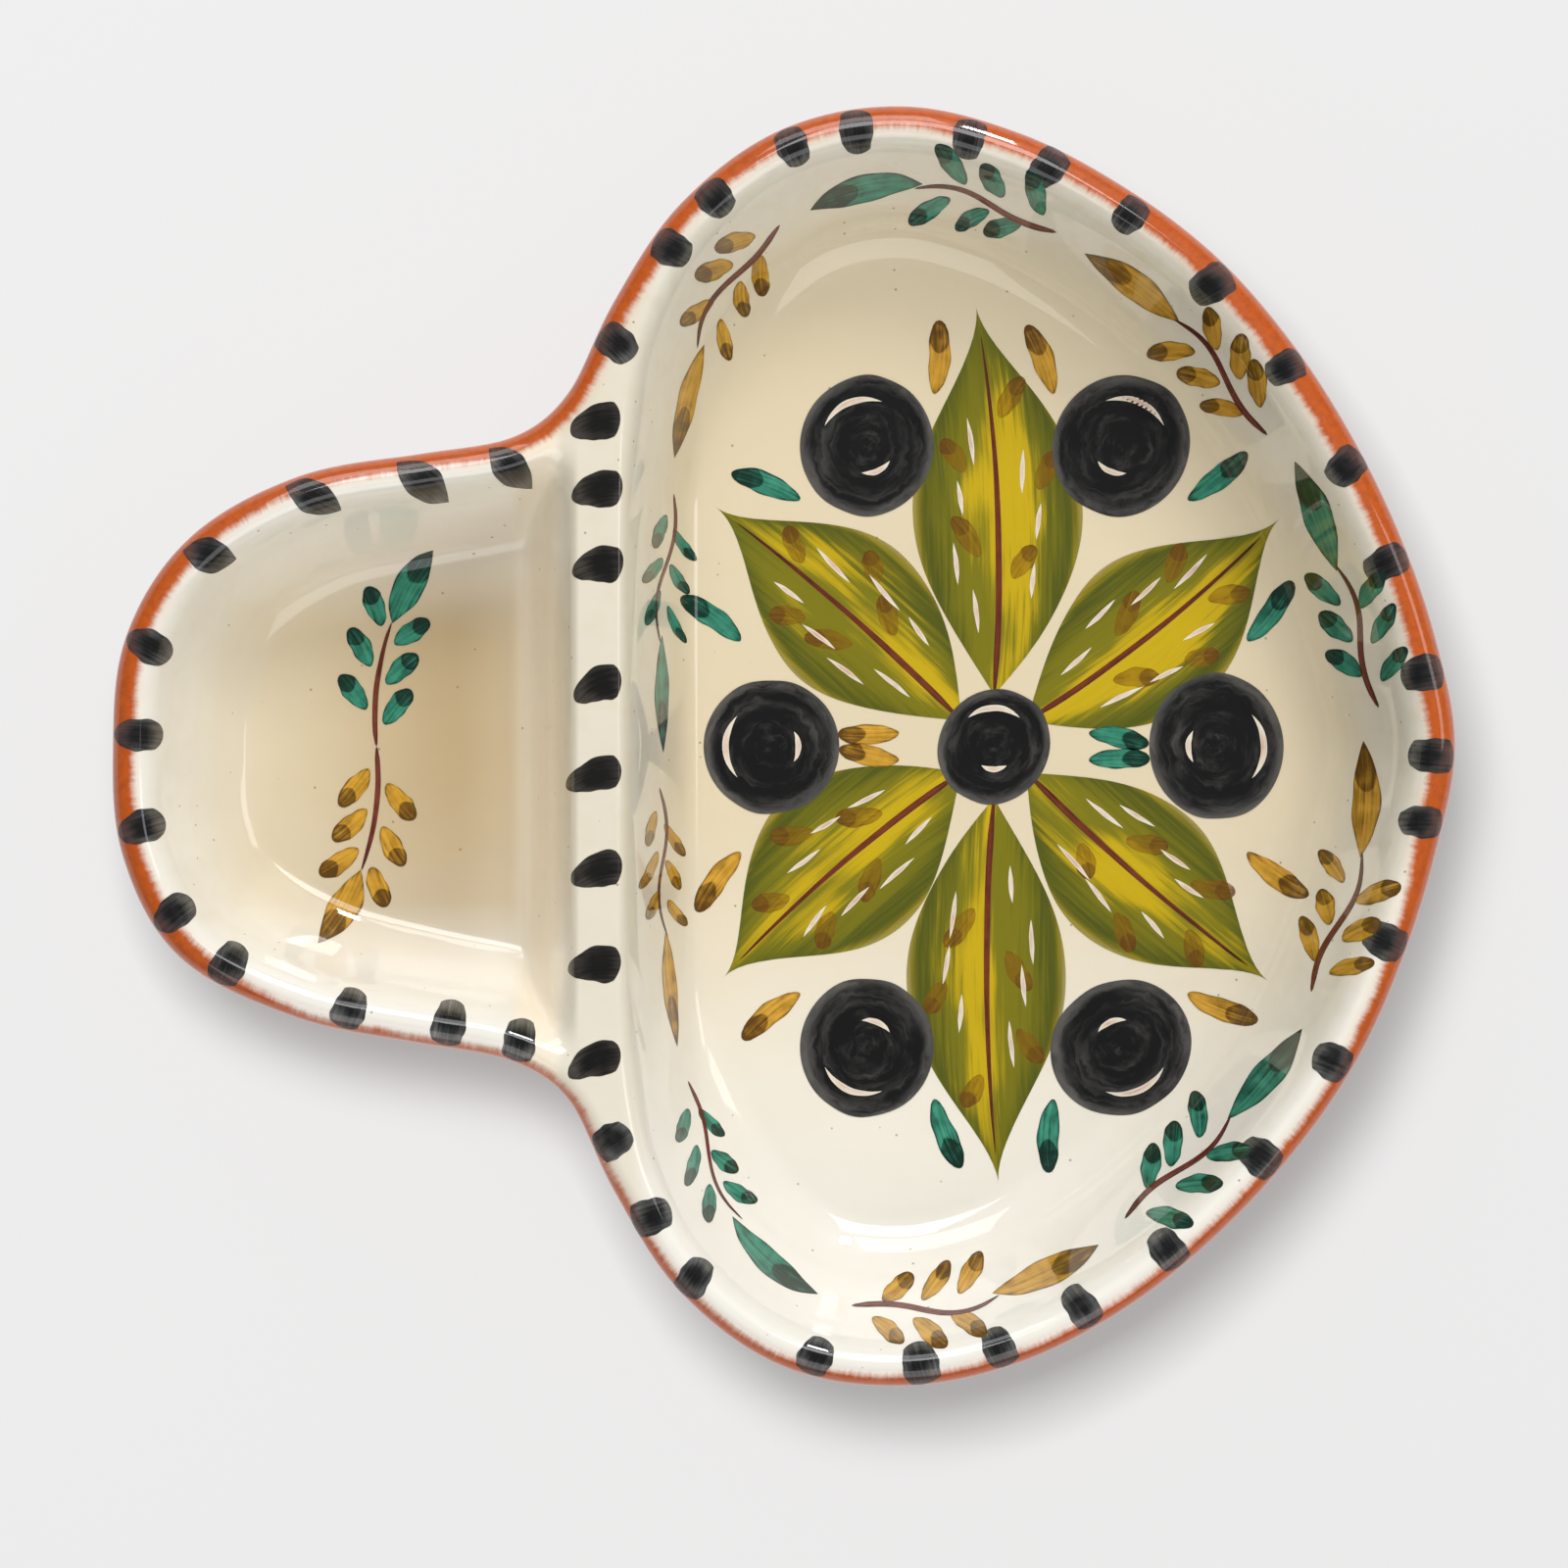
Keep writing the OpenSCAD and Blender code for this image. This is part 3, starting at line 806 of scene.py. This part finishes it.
def border_line():
    """The ways round, the points and the headings of the border's line. On each ray from the
    heart it lies where the lesser of the distances a and b to two offset walls comes to
    nothing. Round the corners the lesser is blended: (a + b - sqrt((a - b)^2 + blend^2)) / 2
    and a little back."""
    ray, far = np.radians(BORDER_RAYS), BORDER_REACHES
    points = MAIN_HEART + far[:, None] * np.stack([np.cos(ray), np.sin(ray)], -1)[:, None]
    gap, _ = edge_foot(points)
    a, b = gap - BORDER_GAP, points[..., 0] - MOUTH_X - BORDER_IN
    lesser = (a + b - np.sqrt((a - b) ** 2 + CORNER_BLEND**2)) / 2 + CORNER_BACK
    inside = np.minimum.accumulate(lesser, 1)
    last = (inside > 0).sum(1) - 1
    rows = np.arange(len(ray))
    high, low = inside[rows, last], inside[rows, last + 1]
    reach = far[last] + (far[1] - far[0]) * high / (high - low)
    line = MAIN_HEART + reach[:, None] * np.stack([np.cos(ray), np.sin(ray)], -1)
    loop = np.concatenate([line, line[:1]])
    way = np.concatenate([[0], np.cumsum(np.linalg.norm(np.diff(loop, axis=0), axis=1))])
    ahead = np.roll(line, -2, 0) - np.roll(line, 2, 0)
    heading = np.unwrap(np.arctan2(ahead[:, 1], ahead[:, 0]))
    heading = np.append(heading, heading[0] + 2 * np.pi)
    return way, loop, np.degrees(heading)


BORDER_WAY, BORDER_LOOP, BORDER_HEADING = border_line()
BORDER_LENGTH = BORDER_WAY[-1]


def border_at(way):
    """Point and heading of the border's line a way round it."""
    turns, rest = np.divmod(way, BORDER_LENGTH)
    x, y = (np.interp(rest, BORDER_WAY, BORDER_LOOP[:, i]) for i in (0, 1))
    return np.stack([x, y], -1), np.interp(rest, BORDER_WAY, BORDER_HEADING) + 360 * turns


def border_strokes(way, aside, angle, length, bend, width, profile, **grid):
    """Strokes laid along the border's line. On the ridge's steep wall what lies across the
    line is narrowed: the place aside, that part of the length, and the width."""
    way, aside, angle, length, bend, width = np.broadcast_arrays(
        *(np.asarray(v, float) for v in (way, aside, angle, length, bend, width))
    )
    place, heading = border_at(way)
    from_ridge = (place[:, 0] - MOUTH_X - BORDER_IN) / RIDGE_NARROW_RUN
    narrow = blend(RIDGE_NARROW, 1.0, np.clip(from_ridge, 0, 1))
    left = np.radians(heading + 90)
    start = place + (aside * narrow)[:, None] * np.stack([np.cos(left), np.sin(left)], -1)
    a = np.radians(angle)
    stretch = np.hypot(np.cos(a), narrow * np.sin(a))
    turned_by = np.degrees(np.arctan2(narrow * np.sin(a), np.cos(a)))
    follow = border_at(way + length * np.cos(a))[1] - heading
    return strokes(
        start, heading + turned_by, length * stretch, follow + bend, width * narrow / stretch,
        profile, **grid
    )


def sprig_touches(first):
    """Ways and sides of the small touches of sprigs that start at the ways in first."""
    way = (first[:, None] + TOUCH_STEPS[None]).ravel()
    side = np.tile(np.where(np.arange(len(TOUCH_STEPS)) % 2, 1.0, -1.0), len(first))
    return way + chance.uniform(-0.6, 0.6, len(way)), side


def thinning(first, loss):
    """The profile of a line that loses some of its first width on the way: first - loss t."""
    return lambda t: first - loss * t


teal = pigment("teal_paint", "36a688", "002a1e", 0.78, 0.99, body=0.45)
ochre = pigment("ochre_paint", "eab030", "5c3b00", 0.80, 0.98, body=0.36)
brown = pigment("brown_paint", "7c3020", "45120a", 0.80, 0.97, head=0.2)
sprig_step = BORDER_LENGTH / SPRIGS
sprig_first = SPRIG_START + sprig_step * np.arange(SPRIGS)
leaf_l = sprig_step - (LEAF_STEP + NEXT_SPRIG)
for tint, paint, first in (("teal", teal, sprig_first[0::2]), ("ochre", ochre, sprig_first[1::2])):
    way, side = sprig_touches(first)
    count = len(way)
    touches = border_strokes(
        way, aside=side * 1.3, angle=side * chance.uniform(26, 44, count),
        length=chance.uniform(5.6, 7.4, count), bend=side * chance.uniform(-10, 30, count),
        width=chance.uniform(2.5, 3.1, count), profile=swell,
    )
    leaf_angle = chance.uniform(-5, 5, len(first))
    leaves = border_strokes(first + LEAF_STEP, 0.0, leaf_angle, leaf_l, 0.0, LEAF_W, leaf)
    film("border_" + tint, tint + "_paint", paint, joined(touches, leaves), TOUCH_FILM)
stems = border_strokes(
    sprig_first, 0.0, 0.0, STEM_L, 0.0, STEM_W, thinning(1.15, 0.5),
    n=33, m=5, square=0.3, wavy=0.9,
)
film("border_stems", "brown_paint", brown, stems, STEM_FILM)


# THE ROSETTE. Six broad green petals with yellow hearts stand round a black disc in the large
# well, with black discs between them. Cream lines, ochre smudges and brown ribs are laid on
# top, and teal and ochre touches fill the ground round it.
ROSETTE = np.array([32.5, 0.0])
ROSETTE_SHARES = np.array([0.82, 1.12])
PETALS = 6
PETAL_FILM, SMUDGE_FILM, RIB_FILM, DISC_FILM, CREAM_FILM = 0.05, 0.065, 0.075, 0.085, 0.1
petal_turn = 90.0 + 360 / PETALS * np.arange(PETALS)
disc_turn = petal_turn + 180 / PETALS


def stretched(turn, radius):
    """Points round the rosette, and their headings from its middle: a circle made narrower
    along the dish and longer across it."""
    turn = np.radians(turn)
    circle = np.stack([np.cos(turn), np.sin(turn)], -1)
    way = ROSETTE_SHARES * circle * np.asarray(radius)[..., None]
    return ROSETTE + way, np.degrees(np.arctan2(way[:, 1], way[:, 0]))


def petal_paint():
    """Olive green laid over yellow, with long streaks. The yellow shows along the middle."""
    finish = Finish("petal_paint")
    along, across, seed = finish.parts(finish.mark("brush", "Vector"))
    way, side, _ = finish.parts(finish.mark("share", "Vector"))
    hair = finish.noise(finish.vector(along * 0.05, across * 1.5, seed), 1.0, 4.0, 0.65) - 0.5
    broad = finish.noise(finish.vector(along * 0.05, across * 0.16, seed + 9), 1.0, 2.0) - 0.5
    green = ((side + 0.15).size() + hair * 0.9 + broad * 1.6).rise(0.02, 0.42)
    body = finish.mix(green, colour("c6a80a"), colour("7a740a"))
    body = finish.mix((side.size() + hair * 1.1).rise(0.35, 0.95), body, colour("4c520a"))
    body = finish.mix((way + hair * 0.5).rise(0.68, 1.0) * 0.7, body, colour("565c08"))
    edge = (side.size() + hair * 0.2).rise(0.84, 1.0)
    body = finish.mix(edge * 0.75, body, colour("b09c0c"))
    alpha = (hair * 0.5 + 0.93 - edge * 0.25).rise(0.3, 0.95)
    return finish.glaze(body, PAINT_SHEEN, finish.waves(), alpha)


PETAL_W, RIB_W, RIB_SHARE = 25.0, 1.1, 0.93
PETAL_START_R, PETAL_TIP_R = 7.0, 62.0
petal_start, petal_heading = stretched(petal_turn, np.full(PETALS, PETAL_START_R))
petal_tip, _ = stretched(petal_turn, np.full(PETALS, PETAL_TIP_R))
petal_length = np.linalg.norm(petal_tip - petal_start, axis=1) * chance.uniform(0.96, 1.03, PETALS)
petal_bend = chance.uniform(8, 15, PETALS)
petal_w = PETAL_W * chance.uniform(0.93, 1.04, PETALS)
petal_lean = chance.uniform(-3, 3, PETALS)
petal_arc = (petal_start, petal_heading - petal_bend / 2 + petal_lean, petal_length, petal_bend)


def broad_leaf(t):
    """Pointed at both ends, and widest a little before the middle."""
    return leaf(t) ** (1.3 + 1.3 * t) * (1.22 - 0.36 * t)


petals = strokes(*petal_arc, petal_w, broad_leaf, n=49, m=17)
film("petals", "olive_paint", petal_paint(), petals, PETAL_FILM)
ribs = strokes(
    petal_start, petal_arc[1], petal_length * RIB_SHARE, petal_bend * RIB_SHARE, RIB_W,
    thinning(1.15, 0.75), n=49, m=5, square=0.3,
)


def on_petals(t, side, aside, angle, length, bend, width, profile):
    """Strokes on every petal a share t along it, at a share aside of its half width. Angle and
    bend turn them away from its rib."""
    start, heading, way, turn = (np.repeat(part, len(t), 0) for part in petal_arc)
    t, side, aside = (np.tile(part, PETALS) for part in (t, side, aside))
    t = t + chance.uniform(-0.03, 0.03, len(t))
    half_w = PETAL_W / 2 * leaf(t) * broad_leaf(t)
    place, now = on_arc(start, heading, way, turn, t, side * aside * half_w)
    tilt = side * (angle + chance.uniform(-4, 4, len(t)))
    length = length * chance.uniform(0.85, 1.2, len(t))
    return strokes(place, now + tilt, length, side * bend, width, profile)


dash_t = np.array([0.18, 0.31, 0.45, 0.59, 0.24, 0.38, 0.53])
dash_side = np.where(np.arange(len(dash_t)) < 4, 1.0, -1.0)
dash_aside = np.array([0.45, 0.60, 0.42, 0.28, 0.52, 0.46, 0.30])
dashes = on_petals(
    dash_t, dash_side, dash_aside, angle=5.0, length=6.4, bend=6.0, width=0.75, profile=leaf
)
smudge_t = np.array([0.30, 0.50, 0.70, 0.38, 0.60])
smudge_side = np.array([-1.0, -1.0, -1.0, 1.0, 1.0])
smudge_aside = np.array([0.2, 0.5, 0.15, 0.25, 0.4])
smudges = on_petals(
    smudge_t, smudge_side, smudge_aside, angle=24.0, length=6.4, bend=16.0, width=3.1, profile=swell
)
smudge_paint = pigment("smudge_paint", "a8740a", "6e430a", 0.30, 0.72, pool=0.1, head=0.4)
film("petal_smudges", "ochre_paint", smudge_paint, smudges, SMUDGE_FILM)
film("petal_ribs", "brown_paint", brown, ribs, RIB_FILM)

DISC_WAYS, DISC_R, MIDDLE_DISC_R = [48.0, 42.0, 48.0], 10.6, 9.0
disc_place, disc_heading = stretched(disc_turn, np.tile(DISC_WAYS, 2))
disc_place = np.concatenate([disc_place, ROSETTE[None]])
count = len(disc_place)
disc_r = np.append(np.full(PETALS, DISC_R), MIDDLE_DISC_R) + chance.uniform(-0.3, 0.3, count)
disc_lay = chance.uniform(0, 360, count)
disc_half_l = disc_r * chance.uniform(0.95, 1.05, count)
lay = np.radians(disc_lay)
disc_start = disc_place - disc_half_l[:, None] * np.stack([np.cos(lay), np.sin(lay)], -1)
discs = strokes(
    disc_start, disc_lay, 2 * disc_half_l, 0.0, 2 * disc_r**2 / disc_half_l,
    thinning(1.0, 0.0), n=25, m=25,
)
disc_paint = pigment(
    "disc_paint", "5c5a58", "020202", 0.82, 1.0,
    body=0.74, streak=1.5, swirl=7.0, pool=-0.45, head=0.2, touch=0.5, near=0.1, far=1.2,
)
film("discs", "black_paint", disc_paint, discs, DISC_FILM)


def disc_arcs(radius, turn, sweep, width):
    """Arcs inside the discs, at a share of their radius, round from a turn by a sweep."""
    first = np.radians(turn)
    start = disc_place + (radius * disc_r)[:, None] * np.stack([np.cos(first), np.sin(first)], -1)
    return strokes(start, turn + 90, radius * disc_r * np.radians(sweep), sweep, width, leaf)


out_turn = np.append(disc_heading, 90.0)
arcs = joined(
    disc_arcs(radius=0.68, turn=out_turn - 42, sweep=84, width=1.0),
    disc_arcs(radius=0.40, turn=out_turn + 146, sweep=68, width=0.9),
)
cream = pigment(
    "cream_paint", "efe6d2", "c99784", 0.9, 1.0,
    body=0.15, streak=1.4, pool=-0.5, head=0.35, touch=0.5, near=0.2, far=0.8,
)
film("cream_lines", "cream_paint", cream, joined(dashes, arcs), CREAM_FILM)


def round_rosette(turn, radius, tilt, length, bend, width, profile):
    """Strokes that start round the rosette and point outward, turned by a tilt."""
    turn, radius = np.broadcast_arrays(np.asarray(turn, float), np.asarray(radius, float))
    start, heading = stretched(turn.ravel(), radius.ravel())
    return strokes(start, heading + tilt, length, bend, width, profile)


for tint, paint, disc, petal in (("teal", teal, 4, 1), ("ochre", ochre, 1, 0)):
    inner = round_rosette(
        disc_turn[disc] + np.array([-6.0, 6.0]), radius=18.0, tilt=np.array([14.0, -14.0]),
        length=9.5, bend=-10.0, width=3.2, profile=swell,
    )
    tips = round_rosette(
        (petal_turn[petal::2, None] + np.array([-13.0, 13.0])).ravel(), radius=50.0,
        tilt=np.tile([22.0, -22.0], PETALS // 2), length=11.5, bend=18.0, width=3.5, profile=swell,
    )
    film("ground_" + tint, tint + "_paint", paint, joined(inner, tips), TOUCH_FILM)


# THE PIT'S SPRAY. One upright stem in the small well, teal above and ochre below, with pairs
# of touches and a leaf at each end.
SPRAY = np.array([-63.0, 0.0])
SPRAY_HEADINGS = np.array([96.0, 276.0])
SPRAY_L, SPRAY_BEND = 19.0, -26.0
SPRAY_TOUCHES, SPRAY_TIP = np.array([0.18, 0.30, 0.52, 0.64, 0.86, 0.97]), np.array([1.02])
SPRAY_STEM_L, SPRAY_STEM_W = 19.5, 0.9
for tint, paint, heading in zip(("teal", "ochre"), (teal, ochre), SPRAY_HEADINGS):
    count = len(SPRAY_TOUCHES)
    side = np.where(np.arange(count) % 2, 1.0, -1.0)
    place, now = on_arc(SPRAY, heading, SPRAY_L, SPRAY_BEND, SPRAY_TOUCHES, aside=side * 1.4)
    touches = strokes(
        place, heading=now + side * 34, length=chance.uniform(6.2, 7.4, count),
        bend=side * 12.0, width=3.2, profile=swell,
    )
    tip, now = on_arc(SPRAY, heading, SPRAY_L, SPRAY_BEND, SPRAY_TIP)
    end_leaf = strokes(tip, heading=now + 2, length=13.0, bend=-22.0, width=4.8, profile=leaf)
    film("spray_" + tint, tint + "_paint", paint, joined(touches, end_leaf), TOUCH_FILM)
spray_stems = strokes(
    np.stack([SPRAY, SPRAY]), SPRAY_HEADINGS, SPRAY_STEM_L, SPRAY_BEND, SPRAY_STEM_W,
    thinning(1.1, 0.4), n=33, m=5, square=0.3,
)
film("spray_stems", "brown_paint", brown, spray_stems, STEM_FILM)


# THE FLOOR, LIGHTS AND CAMERA. A pale sweep with a high light of its own for the shadow, soft
# lights for the dish behind, beside and in front of it, an even pale surround, and a long lens
# straight above. Lengths here are in metres.
FLOOR_SIZE, FLOOR_GLOW, SURROUND_GLOW = 6.0, 0.35, 0.2
floor_mesh = bpy.data.meshes.new("floor")
half = FLOOR_SIZE / 2
floor_mesh.from_pydata(
    [(-half, -half, 0), (half, -half, 0), (half, half, 0), (-half, half, 0)], [], [(0, 1, 2, 3)]
)
floor = bpy.data.objects.new("floor", floor_mesh)
bpy.context.scene.collection.objects.link(floor)
sweep = Finish("pale_sweep")
sweep_surface = sweep.node("ShaderNodeBsdfPrincipled", sockets={
    "Base Color": colour("a9a9a9"), "Roughness": 0.9,
    "Emission Color": colour("ffffff"), "Emission Strength": FLOOR_GLOW,
})
sweep.node("ShaderNodeOutputMaterial", sockets={"Surface": sweep_surface})
floor_mesh.materials.append(sweep.material)


def soft_light(name, place, width, height, power, on_floor):
    """A rectangular soft box that points at the dish, in metres and watts. It lights only the
    floor or only the dish, as a retouched picture on a clean ground has them."""
    lamp = bpy.data.lights.new(name, "AREA")
    lamp.shape, lamp.size, lamp.size_y, lamp.energy = "RECTANGLE", width, height, power
    box = bpy.data.objects.new(name, lamp)
    box.location = place
    way = -np.array(place)
    from_above = math.acos(-way[2] / np.linalg.norm(way))
    box.rotation_euler = (from_above, 0, math.atan2(way[1], way[0]) - math.pi / 2)
    bpy.context.scene.collection.objects.link(box)
    reach = bpy.data.collections.new(name + "_reach")
    reach.objects.link(floor)
    reach.collection_objects[0].light_linking.link_state = "INCLUDE" if on_floor else "EXCLUDE"
    box.light_linking.receiver_collection = reach


soft_light("drop", (-0.27, 0.54, 2.40), 0.80, 0.80, 67.0, on_floor=True)
for name, place, width, height, power in (
    ("key", (0.10, 1.05, 2.20), 0.90, 0.90, 17.0),
    ("back", (-0.25, 1.95, 1.50), 1.30, 1.10, 16.0),
    ("window", (0.60, 1.90, 1.50), 0.20, 0.60, 18.0),
    ("side", (1.90, 0.40, 1.90), 0.80, 0.80, 6.5),
    ("front", (0.30, -2.10, 1.70), 3.40, 1.80, 36.0),
):
    soft_light(name, place, width, height, power, on_floor=False)
world = bpy.data.worlds.new("pale_surround")
bpy.context.scene.world = world
world.use_nodes = True
surround = world.node_tree.nodes["Background"].inputs
surround["Color"].default_value = colour("ffffff")
surround["Strength"].default_value = SURROUND_GLOW
bpy.context.scene.view_settings.view_transform = "Standard"

FRAME_WIDTH, VIEW_DISTANCE, VIEW_Y = 0.24, 2.0, -0.0058
SENSOR = 36.0
lens = bpy.data.cameras.new("camera")
lens.sensor_width = SENSOR
lens.lens = SENSOR * VIEW_DISTANCE / FRAME_WIDTH
camera = bpy.data.objects.new("camera", lens)
camera.location = (0, VIEW_Y, WIDEST_H * MM + VIEW_DISTANCE)
bpy.context.scene.collection.objects.link(camera)
bpy.context.scene.camera = camera
